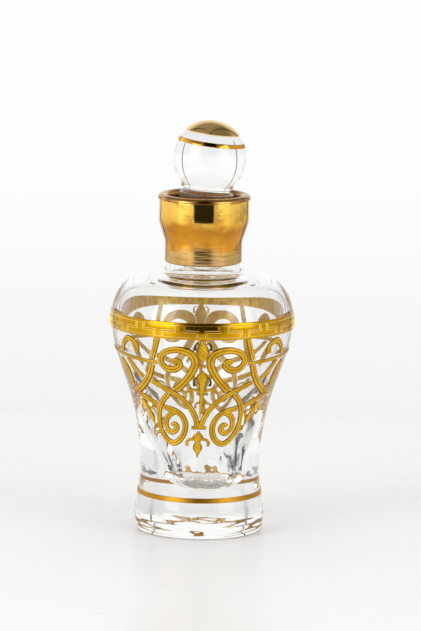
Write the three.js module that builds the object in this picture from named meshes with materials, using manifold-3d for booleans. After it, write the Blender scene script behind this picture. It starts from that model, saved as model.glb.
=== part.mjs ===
// Gilded glass perfume bottle with a ball stopper.
// Millimetres, +Z up, origin at the centre of the resting face, the front of the bottle towards -Y.
// Angles of the gilding are degrees round the bottle from its front, positive to the right.
import * as THREE from 'three';
import Module from 'manifold-3d';

const wasm = await Module();
wasm.setup();

// Glass body: height to the root of the neck, radii at the foot, waist and shoulder, heights above the
// table, and the handles of the curves between them.
const BODY_H = 95;
const HEEL_WIDTH = 4.6;
const FOOT_R = 23.6;
const FOOT_Z = 6.3;
const FOOT_HANDLE = 5;
const WAIST_R = 21.8;
const WAIST_Z = 22;
const WAIST_HANDLE_DOWN = 9;
const WAIST_HANDLE_UP = 30;
const SHOULDER_R = 33;
const SHOULDER_HANDLE_DOWN = 19;
const SHOULDER_HANDLE_UP = 10;
const NECK_ROOT_RISE = 16;
const NECK_ROOT_HANDLE = 8.7;
const NECK_FILLET = 2.4;

// Glass neck and mouth, from the shoulder up: bare neck, straight neck, taper, mouth, rounded lip.
const NECK_R = 13.4;
const NECK_BARE_H = 3.2;
const NECK_STRAIGHT_H = 7.6;
const NECK_TAPER_H = 7.5;
const MOUTH_OUTER_R = 15.8;
const MOUTH_H = 8.3;
const LIP_OVERHANG = 0.65;
const LIP_H = 1.15;

// Hollow inside the glass: heavy base, narrow well, wide shoulder, bore, funnel and mouth.
const FLOOR_Z = 14.5;
const WELL_R = 10.5;
const WELL_DEPTH = 9.5;
const WELL_HANDLE = 7.1;
const WELL_FLARE = 3;
const SHOULDER_WALL = 3;
const INNER_SHOULDER_HANDLE_UP = 9;
const INNER_ROOT_HANDLE = 11;
const BORE_R = 10.7;
const FUNNEL_RISE = 1;
const MOUTH_R = 13.6;

// Gilding: a raised skin that stands just off the glass facets.
const GILD_GAP = 0.12;
const GILD_T = 0.5;
const GILD_JOINT = 0.3;
const COLLAR_EDGE = 0.4;
const MOUTH_LINING_H = 7.4;
const FOOT_LINE_Z = 14.1;
const FOOT_LINE_W = 1.8;
const KEY_BAND_W = 5.2;
const KEY_BAND_DROP = 3.9;

// Raised strapwork: its height below the key band and the rows that it is drawn on, strap widths, the gap
// where one strap passes under another, and the lie of the motifs.
const ORNAMENT_H = 45;
const ORNAMENT_ROWS = 45;
const SCROLL_W = 2.7;
const STRAP_W = 2.2;
const CURL_W = 1.9;
const STEM_W = 1.8;
const THIN_STRAP_W = 1.2;
const TIE_W = 1.2;
const TIE_HALF_TURN = 6.6;
const SCROLL_TIE_HALF_TURN = 4.4;
const UNDERPASS = 0.35;
const STRAP_STEP = 2.6;
const CURVE_SAMPLES = 40;
const MAIN_MOTIF_TURN = 1;
const CORNER_TURN = 59;
const CORNER_ROW = 22.5;
const STEM_FOOT_ROW = 33.9;
const LOZENGE_NECK_W = 2;
const LOZENGE_W = 5.6;
const LOZENGE_H = 8.8;
const SPEAR_GAP = 1.2;
const SPEAR_W = 4.4;
const SPEAR_BLADE_W = 2.6;
const SPEAR_H = 18.4;
const LILY_H = 9.9;
const LILY_W = 3.8;
const LILY_BLADE_W = 3.4;
const ARM_W = 1.1;
const CORNER_LILY_SCALE = 0.8;
const LEAF_W = 2.4;
const TIP_W = 0.4;

// Where the lozenge is widest, as a share of its height, and where the spear and the lily swell along
// theirs: [share at the middle, spread].
const LOZENGE_CORNER = 0.55;
const SPEAR_POINT = [0, 0.05];
const SPEAR_BELLY = [0.15, 0.1];
const LILY_HEAD = [0.22, 0.15];
const LILY_BLADE = [0.62, 0.2];

// Stopper: it leans in the mouth, about the seat of its seal in the funnel.
const STOPPER_LEAN = THREE.MathUtils.degToRad(4);
const BALL_R = 13.4;
const BALL_RISE = 24.35;
const STEM_R = 9.4;
const PLUG_R = 8.4;
const PLUG_DEPTH = 8.5;
const PLUG_CHAMFER = 0.9;
const SEAL_FIT = 0.2;
const SEAL_CLEARANCE = 0.3;
const SEAL_TOP_R = 9.9;
const SEAL_TOP = 13.2;
const SEAL_FLANGE_TOP = 0.8;
const SEAL_FLANGE_STEP = 1.6;
const SEAL_DEPTH = 7;
const CAP_EDGE_LATITUDE = 44;
const RING_LATITUDE = 27;
const RING_W = 1.7;
const SEAT_DROP = 1.4;
const PAINT_TILT = THREE.MathUtils.degToRad(2.5);

const BOTTLE_SIDES = 32;
const STOPPER_SIDES = 24;

// Heights and radii that follow from the sizes above.
const SHOULDER_Z = BODY_H - NECK_ROOT_RISE;
const NECK_ROOT_R = NECK_R + NECK_FILLET;
const COLLAR_Z = BODY_H + NECK_BARE_H;
const TAPER_Z = COLLAR_Z + NECK_STRAIGHT_H;
const MOUTH_Z = TAPER_Z + NECK_TAPER_H;
const LIP_Z = MOUTH_Z + MOUTH_H;
const BAND_TOP_Z = SHOULDER_Z + KEY_BAND_W - KEY_BAND_DROP;
const BAND_BOTTOM_Z = SHOULDER_Z - KEY_BAND_DROP;
const FUNNEL_Z = TAPER_Z + FUNNEL_RISE;
const SEAT_Z = MOUTH_Z - SEAT_DROP;
const ROW_H = ORNAMENT_H / ORNAMENT_ROWS;
const STEM_FOOT_DROP = STEM_FOOT_ROW * ROW_H;
const SCROLL_TIE_DROP = GILD_JOINT + LOZENGE_H + UNDERPASS + TIE_W / 2;
const SPEAR_DROP = SCROLL_TIE_DROP + TIE_W / 2 + SPEAR_GAP;
const LILY_DROP = STEM_FOOT_DROP + TIE_W / 2 + 2 * UNDERPASS;

const gold = (color, roughness) => new THREE.MeshStandardMaterial({ color, roughness, metalness: 1 });
const GLASS = new THREE.MeshStandardMaterial({ color: 0xf3f6f4, roughness: 0.03, metalness: 0 });
const SEAL_PLASTIC = new THREE.MeshStandardMaterial({ color: 0xd5ddd2, roughness: 0.4, metalness: 0 });
const BRIGHT_GOLD = gold(0xe6ab32, 0.18);
const SATIN_GOLD = gold(0xb4863a, 0.38);
const STRAP_GOLD = gold(0xd7a31e, 0.3);

const point = (r, z) => new THREE.Vector2(r, z);

function bezier(start, startHandle, endHandle, end, steps) {
  return new THREE.CubicBezierCurve(start, startHandle, endHandle, end).getPoints(steps);
}

function ellipseArc(centre, width, height, from, to, steps) {
  const points = [];
  for (let i = 0; i <= steps; i += 1) {
    const turn = THREE.MathUtils.degToRad(from + ((to - from) * i) / steps);
    points.push(point(centre.x + width * Math.cos(turn), centre.y + height * Math.sin(turn)));
  }
  return points;
}

function withoutRepeats(points) {
  return points.filter((p, i) => i === 0 || p.distanceTo(points[i - 1]) > 1e-6);
}

function turned(profile, sides) {
  const geometry = new THREE.LatheGeometry(withoutRepeats(profile), sides);
  return geometry.rotateX(Math.PI / 2);
}

const closedRing = (profile) => [...profile, profile[0].clone()];

// Outside of the glass from the heel to the lip; the gilding reads its radius from the same points.
const outerWall = withoutRepeats([
  ...ellipseArc(point(FOOT_R - HEEL_WIDTH, FOOT_Z), HEEL_WIDTH, FOOT_Z, -90, 0, 5),
  ...bezier(point(FOOT_R, FOOT_Z), point(FOOT_R, FOOT_Z + FOOT_HANDLE),
    point(WAIST_R, WAIST_Z - WAIST_HANDLE_DOWN), point(WAIST_R, WAIST_Z), 6),
  ...bezier(point(WAIST_R, WAIST_Z), point(WAIST_R, WAIST_Z + WAIST_HANDLE_UP),
    point(SHOULDER_R, SHOULDER_Z - SHOULDER_HANDLE_DOWN), point(SHOULDER_R, SHOULDER_Z), 11),
  ...bezier(point(SHOULDER_R, SHOULDER_Z), point(SHOULDER_R, SHOULDER_Z + SHOULDER_HANDLE_UP),
    point(NECK_ROOT_R + NECK_ROOT_HANDLE, BODY_H), point(NECK_ROOT_R, BODY_H), 8),
  ...ellipseArc(point(NECK_ROOT_R, BODY_H + NECK_FILLET), NECK_FILLET, NECK_FILLET, 270, 180, 3),
  point(NECK_R, TAPER_Z),
  point(MOUTH_OUTER_R, MOUTH_Z),
  point(MOUTH_OUTER_R, LIP_Z - LIP_OVERHANG),
]);

function glassRadius(z) {
  const i = Math.max(1, outerWall.findIndex((p) => p.y >= z));
  const below = outerWall[i - 1];
  const above = outerWall[i];
  return THREE.MathUtils.mapLinear(z, below.y, above.y, below.x, above.x);
}

const lipCentre = point((MOUTH_R + MOUTH_OUTER_R + LIP_OVERHANG) / 2, LIP_Z);
const lipHalfWidth = (MOUTH_OUTER_R + LIP_OVERHANG - MOUTH_R) / 2;

function lipArc(offset, from, to) {
  return ellipseArc(lipCentre, lipHalfWidth + offset, LIP_H + offset, from, to, 5);
}

function bottleGlass() {
  const innerShoulderR = SHOULDER_R - SHOULDER_WALL;
  const ceiling = BODY_H - SHOULDER_WALL;
  const ceilingR = BORE_R + NECK_FILLET;
  const wellTop = FLOOR_Z + WELL_DEPTH;
  const inside = [
    point(MOUTH_R, MOUTH_Z),
    point(BORE_R, FUNNEL_Z),
    ...ellipseArc(point(ceilingR, ceiling + NECK_FILLET), NECK_FILLET, NECK_FILLET, 180, 270, 3),
    ...bezier(point(ceilingR, ceiling), point(ceilingR + INNER_ROOT_HANDLE, ceiling),
      point(innerShoulderR, SHOULDER_Z + INNER_SHOULDER_HANDLE_UP), point(innerShoulderR, SHOULDER_Z), 6),
    ...bezier(point(innerShoulderR, SHOULDER_Z), point(innerShoulderR, SHOULDER_Z - SHOULDER_HANDLE_DOWN),
      point(WELL_R + WELL_FLARE, wellTop + SHOULDER_HANDLE_DOWN), point(WELL_R, wellTop), 8),
    ...bezier(point(WELL_R, wellTop), point(WELL_R, wellTop - WELL_HANDLE),
      point(WELL_R / 2, FLOOR_Z), point(0, FLOOR_Z), 5),
  ];
  return turned([point(0, 0), ...outerWall, ...lipArc(0, 0, 180), ...inside], BOTTLE_SIDES);
}

// A gilded band round the outside of the glass between two heights.
function outerSkin(bottom, top) {
  const heights = [bottom, ...outerWall.map((p) => p.y).filter((z) => z > bottom && z < top), top];
  const outside = heights.map((z) => point(glassRadius(z) + GILD_GAP + GILD_T, z));
  const inside = heights.map((z) => point(glassRadius(z) + GILD_GAP, z)).reverse();
  return turned(closedRing([...outside, ...inside]), BOTTLE_SIDES);
}

function lipSkin() {
  const outside = lipArc(GILD_GAP + GILD_T, 0, 180);
  const inside = lipArc(GILD_GAP, 180, 0);
  return turned(closedRing([...outside, ...inside]), BOTTLE_SIDES);
}

function mouthLining() {
  const top = LIP_Z - GILD_JOINT;
  const outer = MOUTH_R - GILD_GAP;
  const inner = outer - GILD_T;
  const bottom = top - MOUTH_LINING_H;
  const profile = [point(inner, bottom), point(outer, bottom), point(outer, top), point(inner, top)];
  return turned(closedRing(profile), BOTTLE_SIDES);
}

// Raised gilding on the curved glass.
function onGlass(angle, z, lift) {
  const radius = glassRadius(z) + lift;
  const turn = THREE.MathUtils.degToRad(angle);
  return new THREE.Vector3(radius * Math.sin(turn), -radius * Math.cos(turn), z);
}

function signedVolume(vertices, triangles) {
  let sum = 0;
  for (let i = 0; i < triangles.length; i += 3) {
    const [a, b, c] = [vertices[triangles[i]], vertices[triangles[i + 1]], vertices[triangles[i + 2]]];
    sum += a.dot(b.clone().cross(c)) / 6;
  }
  return sum;
}

function solidFrom(vertices, triangles) {
  if (signedVolume(vertices, triangles) < 0) triangles.reverse();
  const vertProperties = new Float32Array(vertices.flatMap((v) => [v.x, v.y, v.z]));
  const triVerts = new Uint32Array(triangles);
  return new wasm.Manifold(new wasm.Mesh({ numProp: 3, vertProperties, triVerts }));
}

function geometryFrom(solid) {
  const mesh = solid.getMesh();
  const geometry = new THREE.BufferGeometry();
  geometry.setAttribute('position', new THREE.BufferAttribute(mesh.vertProperties, 3));
  geometry.setIndex(new THREE.BufferAttribute(mesh.triVerts, 1));
  return geometry;
}

// Places on the glass are [degrees, millimetres below the key band], and a motif is drawn through points of
// [degrees from its middle, rows below the key band].
const onField = ([angle, drop]) => point(angle, BAND_BOTTOM_Z - drop);
const drawn = (points, turn, hand) => points.map(([angle, row]) => [turn + hand * angle, row * ROW_H]);

// The step between two places, rolled out flat in millimetres.
function flat(from, to) {
  const perDegree = THREE.MathUtils.degToRad(1) * glassRadius(from.y);
  return new THREE.Vector2((to.x - from.x) * perDegree, to.y - from.y);
}

function pathLength(places) {
  return places.slice(1).reduce((sum, place, i) => sum + flat(places[i], place).length(), 0);
}

function curved(points) {
  const curve = new THREE.SplineCurve(points.map(onField));
  const steps = Math.ceil(pathLength(curve.getPoints(CURVE_SAMPLES)) / STRAP_STEP);
  return curve.getSpacedPoints(Math.max(3, steps));
}

function upright(turn, drop, height, steps) {
  const places = [];
  for (let i = 0; i <= steps; i += 1) places.push(onField([turn, drop + (height * i) / steps]));
  return places;
}

// A strap along a path. Its width is a number, or a function of the share of the path passed, which
// adds a middle row so that a broad piece follows the round glass. A grown strap is the room it needs.
function strap({ places, width }, grow = 0) {
  const broad = typeof width === 'function';
  const rows = broad ? [-1, 0, 1] : [-1, 1];
  const low = grow > 0 ? -1 : GILD_GAP;
  const high = GILD_GAP + GILD_T + (grow > 0 ? 1 : 0);
  const last = places.length - 1;
  const vertices = [];
  places.forEach((place, i) => {
    const before = flat(places[Math.max(0, i - 1)], places[Math.max(1, i)]).normalize();
    const after = flat(places[Math.min(last - 1, i)], places[Math.min(last, i + 1)]).normalize();
    const along = before.clone().add(after).normalize();
    const mitre = 1 / Math.max(0.5, along.dot(before));
    const half = ((broad ? width(i / last) : width) / 2 + grow) * mitre;
    const perDegree = THREE.MathUtils.degToRad(1) * glassRadius(place.y);
    const longer = grow * (Number(i === last) - Number(i === 0));
    for (const row of rows) {
      const angle = place.x + (along.x * longer - along.y * row * half) / perDegree;
      const z = place.y + along.y * longer + along.x * row * half;
      vertices.push(onGlass(angle, z, low), onGlass(angle, z, high));
    }
  });
  const ring = 2 * rows.length;
  const under = rows.map((row, k) => 2 * k);
  const over = under.map((k) => k + 1).reverse();
  const rim = [...under, ...over];
  const triangles = [];
  for (let i = 0; i < last; i += 1) {
    rim.forEach((a, k) => {
      const b = rim[(k + 1) % ring];
      const start = ring * i;
      triangles.push(start + a, start + b, start + ring + b, start + a, start + ring + b, start + ring + a);
    });
  }
  const end = ring * last;
  for (let k = 0; k + 3 < ring; k += 2) {
    for (const [a, b, c] of [[k, k + 2, k + 3], [k, k + 3, k + 1]]) {
      triangles.push(a, c, b, end + a, end + b, end + c);
    }
  }
  return solidFrom(vertices, triangles);
}

const room = (line) => strap(line, UNDERPASS);
const passingUnder = (solid, ...overs) => overs.reduce((rest, over) => rest.subtract(room(over)), solid);
const joined = (...lines) => lines.map((line) => strap(line)).reduce((sum, solid) => sum.add(solid));

// Half of a main motif: one interlaced line of scroll, loop and zigzag, with its curl, stem and links.
function mainHalf(turn, hand) {
  const path = (points) => curved(drawn(points, turn, hand));
  const corner = [CORNER_TURN, CORNER_ROW];
  const upperLeg = path([[34.2, 9.4], [36, 12.2], [43, 15.8], corner]);
  const lowerLeg = path([corner, [47.5, 24.4], [36, 26.3]]);
  return {
    scroll: {
      places: path([[22.6, 20.2], [17.6, 18.9], [11.8, 15.8], [7.2, 12.3], [5, 8.6], [8.2, 5.4],
        [16.6, 4.2], [25.2, 5.5], [28.8, 8.4], [25.4, 11.3], [19, 11.7], [15, 9.9], [16.4, 8]]),
      width: SCROLL_W,
    },
    loop: {
      places: path([[28, 26.8], [21.2, 27.2], [14.9, 29.4], [11.8, 33.4], [14.2, 37.5], [21.3, 40],
        [28.8, 39], [35.4, 35.3], [36.9, 30.6], [34, 26], [28.6, 22.6], [22.6, 20.2]]),
      width: STRAP_W,
    },
    curl: {
      places: path([[19.6, 27.6], [25.4, 29], [29.2, 31.4], [28.9, 34.6], [24.6, 36.2], [20.2, 35],
        [19.4, 33.4], [21.8, 32.7]]),
      width: CURL_W,
    },
    stem: {
      places: path([[1.7, STEM_FOOT_ROW], [2.9, 31], [7.3, 27], [14.6, 23.2], [24, 20.3], [37, 17.6],
        [43, 15.8]]),
      width: STEM_W,
    },
    zigzag: { places: [...upperLeg, ...lowerLeg.slice(1)], width: STRAP_W },
    stemTip: { places: path([[43, 15.8], [49.5, 13.2], [57.5, 9.1]]), width: STEM_W },
    bandStrap: { places: path([[30.2, GILD_JOINT / ROW_H], [32, 4.4], [34.2, 9.4]]), width: STEM_W },
  };
}

// An upright blade with two thin arms, which leave it on either side and curl down at their ends. The arms
// run through points of [degrees from the blade, share of the blade's height].
function armedBlade(turn, top, height, bladeWidth, armPoints, armWidth) {
  const blade = { places: upright(turn, top, height, 10), width: bladeWidth };
  const arms = [-1, 1].map((hand) => ({
    places: curved(armPoints.map(([angle, share]) => [turn + hand * angle, top + share * height])),
    width: armWidth,
  }));
  return joined(blade, ...arms);
}

const swell = (share, at, spread) => Math.exp(-(((share - at) / spread) ** 2));
const lozengeWidth = (share) => Math.min(
  THREE.MathUtils.mapLinear(share, 0, LOZENGE_CORNER, LOZENGE_NECK_W, LOZENGE_W),
  THREE.MathUtils.mapLinear(share, LOZENGE_CORNER, 1, LOZENGE_W, TIP_W));
const spearWidth = (share) => TIP_W + SPEAR_BLADE_W * (1 - share) * (1 - swell(share, ...SPEAR_POINT))
  + (SPEAR_W - SPEAR_BLADE_W) * swell(share, ...SPEAR_BELLY);
const leafWidth = (share) => TIP_W + (LEAF_W - TIP_W) * Math.sin(Math.PI * share);
const lilyWidth = (share) => TIP_W + (LILY_W - TIP_W) * swell(share, ...LILY_HEAD)
  + (LILY_BLADE_W - TIP_W) * swell(share, ...LILY_BLADE);

function lily(turn, top, scale) {
  const armPoints = [[0.3, 0.3], [4.2, 0.3], [7.8, 0.33], [10, 0.44], [9.3, 0.57]].map(
    ([angle, share]) => [angle * scale, share]);
  const bladeWidth = (share) => scale * lilyWidth(share);
  return armedBlade(turn, top, LILY_H * scale, bladeWidth, armPoints, ARM_W * scale);
}

const bottle = new THREE.Group();

function add(name, geometry, material, group = bottle) {
  const mesh = new THREE.Mesh(geometry, material);
  mesh.name = name;
  group.add(mesh);
}

const addRaised = (name, solid) => add(name, geometryFrom(solid), STRAP_GOLD);

add('bottle_glass', bottleGlass(), GLASS);
add('foot_line', outerSkin(FOOT_LINE_Z - FOOT_LINE_W / 2, FOOT_LINE_Z + FOOT_LINE_W / 2), BRIGHT_GOLD);
add('key_band', outerSkin(BAND_BOTTOM_Z, BAND_TOP_Z), STRAP_GOLD);
add('neck_collar', outerSkin(COLLAR_Z, LIP_Z - LIP_OVERHANG - COLLAR_EDGE), BRIGHT_GOLD);
add('gilded_lip', lipSkin(), SATIN_GOLD);
add('mouth_lining', mouthLining(), SATIN_GOLD);

// Two main motifs, on the front and the back, each a mirrored pair of halves.
const HANDS = [['left', -1], ['right', 1]];
const MAIN_MOTIFS = [['front', MAIN_MOTIF_TURN], ['back', MAIN_MOTIF_TURN + 180]];
const mains = {};
for (const [face, turn] of MAIN_MOTIFS) {
  mains[face] = HANDS.map(([, hand]) => mainHalf(turn, hand));
}

// Each flank of the bottle lies between one half of the front motif and one half of the back motif.
const flanks = HANDS.map(([name, hand], k) => {
  const points = [[28.8, 9.6], [44, 9.4], [66, 8.8], [90, 8.5], [114, 8.8], [136, 9.4], [151.2, 9.6]];
  const thin = { places: curved(drawn(points, MAIN_MOTIF_TURN, hand)), width: THIN_STRAP_W };
  return { name, hand, thin, halves: { front: mains.front[k], back: mains.back[1 - k] } };
});

for (const { name, hand, thin, halves } of flanks) {
  addRaised(`${name}_thin_strap`, passingUnder(strap(thin), halves.front.scroll, halves.back.scroll));
  for (const [face, mirrored] of [['front', (angle) => angle], ['back', (angle) => 180 - angle]]) {
    const { scroll, loop, curl, stem, zigzag, stemTip, bandStrap } = halves[face];
    const title = (piece) => `${face}_${name}_${piece}`;
    const facing = (points) => points.map(([angle, row]) => [mirrored(angle), row]);
    const path = (points) => curved(drawn(facing(points), MAIN_MOTIF_TURN, hand));
    const crook = {
      places: path([[62, 8.6], [59, 5.6], [55.4, 2.6], [50.6, 1.9], [47.4, 3.4], [46.8, 6.4]]),
      width: CURL_W,
    };
    const leaf = { places: path([[76, 11.2], [69.5, 14.6], [64, 19]]), width: leafWidth };
    const cornerLily = lily(
      MAIN_MOTIF_TURN + hand * mirrored(CORNER_TURN), CORNER_ROW * ROW_H + STRAP_W, CORNER_LILY_SCALE);
    addRaised(title('scroll'), passingUnder(strap(scroll), stem));
    addRaised(title('loop'), passingUnder(joined(loop, curl), stem));
    addRaised(title('zigzag_strap'), passingUnder(strap(zigzag), thin, loop));
    addRaised(title('stem_tip'), passingUnder(strap(stemTip), thin, zigzag));
    addRaised(title('band_strap'), passingUnder(strap(bandStrap), thin, scroll));
    addRaised(title('crook'), passingUnder(strap(crook), thin));
    addRaised(title('leaf'), passingUnder(strap(leaf), zigzag, thin));
    addRaised(title('corner_lily'), passingUnder(cornerLily, zigzag, loop));
  }
}

// Middle of each main motif: lozenge, tie, spear, forked stems and lily, from the key band down.
for (const [face, turn] of MAIN_MOTIFS) {
  const [scrolls, loops, stems, zigzags] = ['scroll', 'loop', 'stem', 'zigzag'].map(
    (piece) => mains[face].map((half) => half[piece]));
  const tieAt = (drop, halfTurn) => ({
    places: curved([[turn - halfTurn, drop], [turn, drop], [turn + halfTurn, drop]]),
    width: TIE_W,
  });
  const lozenge = strap({ places: upright(turn, GILD_JOINT, LOZENGE_H, 6), width: lozengeWidth });
  const spearArms = [[0.3, 0.45], [5.4, 0.4], [9.6, 0.405], [12, 0.48]];
  const spear = armedBlade(turn, SPEAR_DROP, SPEAR_H, spearWidth, spearArms, ARM_W);
  const scrollTie = strap(tieAt(SCROLL_TIE_DROP, SCROLL_TIE_HALF_TURN));
  const stemTie = strap(tieAt(STEM_FOOT_DROP, TIE_HALF_TURN));
  addRaised(`${face}_lozenge`, passingUnder(lozenge, ...scrolls));
  addRaised(`${face}_scroll_tie`, passingUnder(scrollTie, ...scrolls));
  addRaised(`${face}_spear`, passingUnder(spear, ...scrolls, ...stems));
  const fork = joined(...stems).add(passingUnder(stemTie, ...loops));
  addRaised(`${face}_stem_fork`, passingUnder(fork, ...zigzags));
  addRaised(`${face}_lily`, passingUnder(lily(turn, LILY_DROP, 1), ...loops));
}

// Stopper: solid glass ball on a plug, its gilding, and the soft seal that seats in the funnel.
const funnelSlope = (MOUTH_R - BORE_R) / (MOUTH_Z - FUNNEL_Z);
const leanSine = Math.sin(STOPPER_LEAN);
const seatGap = SEAL_CLEARANCE + leanSine * (MOUTH_R * funnelSlope + SEAL_FLANGE_TOP);
const seatRadius = (w) => BORE_R + (SEAT_Z + w - FUNNEL_Z) * funnelSlope - seatGap;

function stopperGlass() {
  const ballFoot = BALL_RISE - Math.sqrt(BALL_R * BALL_R - STEM_R * STEM_R);
  const from = THREE.MathUtils.radToDeg(Math.atan2(ballFoot - BALL_RISE, STEM_R));
  return turned([
    point(0, -PLUG_DEPTH),
    point(PLUG_R - PLUG_CHAMFER, -PLUG_DEPTH),
    point(PLUG_R, PLUG_CHAMFER - PLUG_DEPTH),
    point(PLUG_R, SEAL_TOP + SEAL_FIT),
    point(STEM_R, SEAL_TOP + SEAL_FIT),
    ...ellipseArc(point(0, BALL_RISE), BALL_R, BALL_R, from, 90, 14),
  ], STOPPER_SIDES);
}

function stopperSeal() {
  const bore = PLUG_R + SEAL_FIT;
  const sleeve = BORE_R - SEAL_CLEARANCE - SEAL_DEPTH * leanSine;
  const coneEnd = FUNNEL_Z - SEAT_Z;
  return turned(closedRing([
    point(bore, -SEAL_DEPTH),
    point(sleeve, -SEAL_DEPTH),
    point(sleeve, coneEnd),
    point(Math.max(sleeve, seatRadius(coneEnd)), coneEnd + SEAL_CLEARANCE),
    point(seatRadius(SEAL_FLANGE_TOP), SEAL_FLANGE_TOP),
    point(SEAL_TOP_R, SEAL_FLANGE_TOP + SEAL_FLANGE_STEP),
    point(SEAL_TOP_R, SEAL_TOP),
    point(bore, SEAL_TOP),
  ]), STOPPER_SIDES);
}

// A gilded zone of the ball between two latitudes, centred on the ball.
function ballSkin(low, high, steps) {
  const inner = BALL_R + GILD_GAP;
  const outer = inner + GILD_T;
  const inside = ellipseArc(point(0, 0), inner, inner, high, low, steps);
  const outside = ellipseArc(point(0, 0), outer, outer, low, high, steps);
  const profile = [...inside, ...outside];
  return turned(high < 90 ? closedRing(profile) : profile, STOPPER_SIDES);
}

const stopper = new THREE.Group();
stopper.position.z = SEAT_Z;
stopper.rotation.y = STOPPER_LEAN;
bottle.add(stopper);

const stopperPaint = new THREE.Group();
stopperPaint.position.z = BALL_RISE;
stopperPaint.rotation.y = PAINT_TILT;
stopper.add(stopperPaint);

const ringHalf = THREE.MathUtils.radToDeg(RING_W / BALL_R) / 2;
add('stopper_glass', stopperGlass(), GLASS, stopper);
add('stopper_seal', stopperSeal(), SEAL_PLASTIC, stopper);
add('stopper_cap_gilding', ballSkin(CAP_EDGE_LATITUDE, 90, 6), BRIGHT_GOLD, stopperPaint);
const ringSkin = ballSkin(RING_LATITUDE - ringHalf, RING_LATITUDE + ringHalf, 2);
add('stopper_ring_gilding', ringSkin, BRIGHT_GOLD, stopperPaint);

export default bottle;
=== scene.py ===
"""Gilded glass perfume bottle with a ball stopper: its looks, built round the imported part.

Sizes are in millimetres and turned into metres when a mesh is made. The front of the bottle faces -Y,
and angles are degrees round the bottle from its front, positive to the right.
"""
import math

import bpy
import numpy as np
from mathutils import Matrix, Vector


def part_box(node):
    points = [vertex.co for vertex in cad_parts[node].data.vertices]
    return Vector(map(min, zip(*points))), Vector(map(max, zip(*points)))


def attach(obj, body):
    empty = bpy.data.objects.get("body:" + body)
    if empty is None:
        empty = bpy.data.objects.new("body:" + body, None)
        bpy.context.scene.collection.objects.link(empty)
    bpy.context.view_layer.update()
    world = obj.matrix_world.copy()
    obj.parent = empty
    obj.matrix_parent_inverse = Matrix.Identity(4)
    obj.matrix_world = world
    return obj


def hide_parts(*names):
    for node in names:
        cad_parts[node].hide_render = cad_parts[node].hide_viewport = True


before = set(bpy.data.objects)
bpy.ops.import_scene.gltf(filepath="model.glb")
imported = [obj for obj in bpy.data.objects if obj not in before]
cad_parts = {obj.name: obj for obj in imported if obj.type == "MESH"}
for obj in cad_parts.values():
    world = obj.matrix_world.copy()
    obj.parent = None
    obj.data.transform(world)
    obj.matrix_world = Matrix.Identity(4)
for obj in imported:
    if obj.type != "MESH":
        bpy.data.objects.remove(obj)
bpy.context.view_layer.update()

# Bottle glass
# One blown body of clear glass with a heavy base, a flared foot, a waist and a swelling shoulder.
# The neck is drawn up into a funnel mouth, and the lip is fire-polished. The hollow sits off centre.
MM = 0.001
GLASS_SIDES = 240
POLE_R = 0.05
BODY_H = 95.0
HEEL_WIDTH = 1.2
FOOT_R = 23.6
FOOT_Z = 6.3
FOOT_HANDLE = 5.0
WAIST_R = 21.8
WAIST_Z = 22.0
WAIST_HANDLE_DOWN = 9.0
WAIST_HANDLE_UP = 30.0
SHOULDER_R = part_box("bottle_glass")[1].x / MM
SHOULDER_Z = BODY_H - 16.0
SHOULDER_HANDLE_DOWN = 19.0
SHOULDER_HANDLE_UP = 10.0
NECK_ROOT_HANDLE = 8.7
NECK_FILLET = 2.4
NECK_R = 13.4
TAPER_Z = 105.8
MOUTH_Z = 113.3
MOUTH_OUTER_R = 15.8
LIP_Z = 121.6
LIP_OVERHANG = 0.65
LIP_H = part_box("bottle_glass")[1].z / MM - LIP_Z
PUNT_R = 8.0
PUNT_RISE = 1.1
FLOOR_Z = 14.5
WELL_R = 10.5
WELL_Z = 24.0
WELL_FLARE = 3.0
WELL_HANDLE = 7.1
SHOULDER_WALL = 3.0
INNER_SHOULDER_HANDLE_UP = 7.2
INNER_ROOT_HANDLE = 10.0
BORE_R = 10.7
INNER_FILLET = 6.2
FUNNEL_Z = 106.8
MOUTH_R = 13.6
EDGE_ROUNDING = 1.0
HOLLOW_SHIFT = 1.7
HOLLOW_SHIFT_REACH = 42.0
HOLLOW_WAVES = [(1, 3, 7, 0), (0.7, 5, -5, 1), (0.5, 8, 3, 2), (0.35, 14, -4, 3), (0.2, 23, 2.5, 0)]
RIPPLE = 0.3
HEEL_RIPPLE = 0.035
HEEL_RIPPLE_FOOT = 2.0
HEEL_RIPPLE_TOP = 12.5


def bezier(start, start_handle, end_handle, end, steps):
    """Cubic curve in (radius, height): the Bernstein blend of two ends and their two handles."""
    t = np.linspace(0, 1, steps + 1)[:, None]
    ends = (1 - t) ** 3 * np.array(start) + t ** 3 * np.array(end)
    return ends + 3 * (1 - t) ** 2 * t * np.array(start_handle) + 3 * (1 - t) * t ** 2 * np.array(end_handle)


def arc(centre, width, height, first, last, steps):
    """Part of an ellipse in (radius, height), between two angles in degrees from its outer end."""
    turn = np.radians(np.linspace(first, last, steps + 1))
    return np.stack([centre[0] + width * np.cos(turn), centre[1] + height * np.sin(turn)], axis=1)


def rounded(corners, radius, steps=5, most=0.45):
    """Open outline whose inner corners are bent: each is a quadratic curve that starts and ends a radius
    away, or at most a share of the side away.
    """
    corners = np.array(corners, float)
    before, corner, after = corners[:-2], corners[1:-1], corners[2:]

    def towards(place):
        reach = np.linalg.norm(place - corner, axis=1, keepdims=True)
        return corner + (place - corner) * np.minimum(radius / reach, most)

    t = np.linspace(0, 1, steps + 1)[None, :, None]
    bends = ((1 - t) ** 2 * towards(before)[:, None] + 2 * t * (1 - t) * corner[:, None]
             + t ** 2 * towards(after)[:, None])
    return np.vstack([corners[:1], bends.reshape(-1, 2), corners[-1:]])


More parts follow.
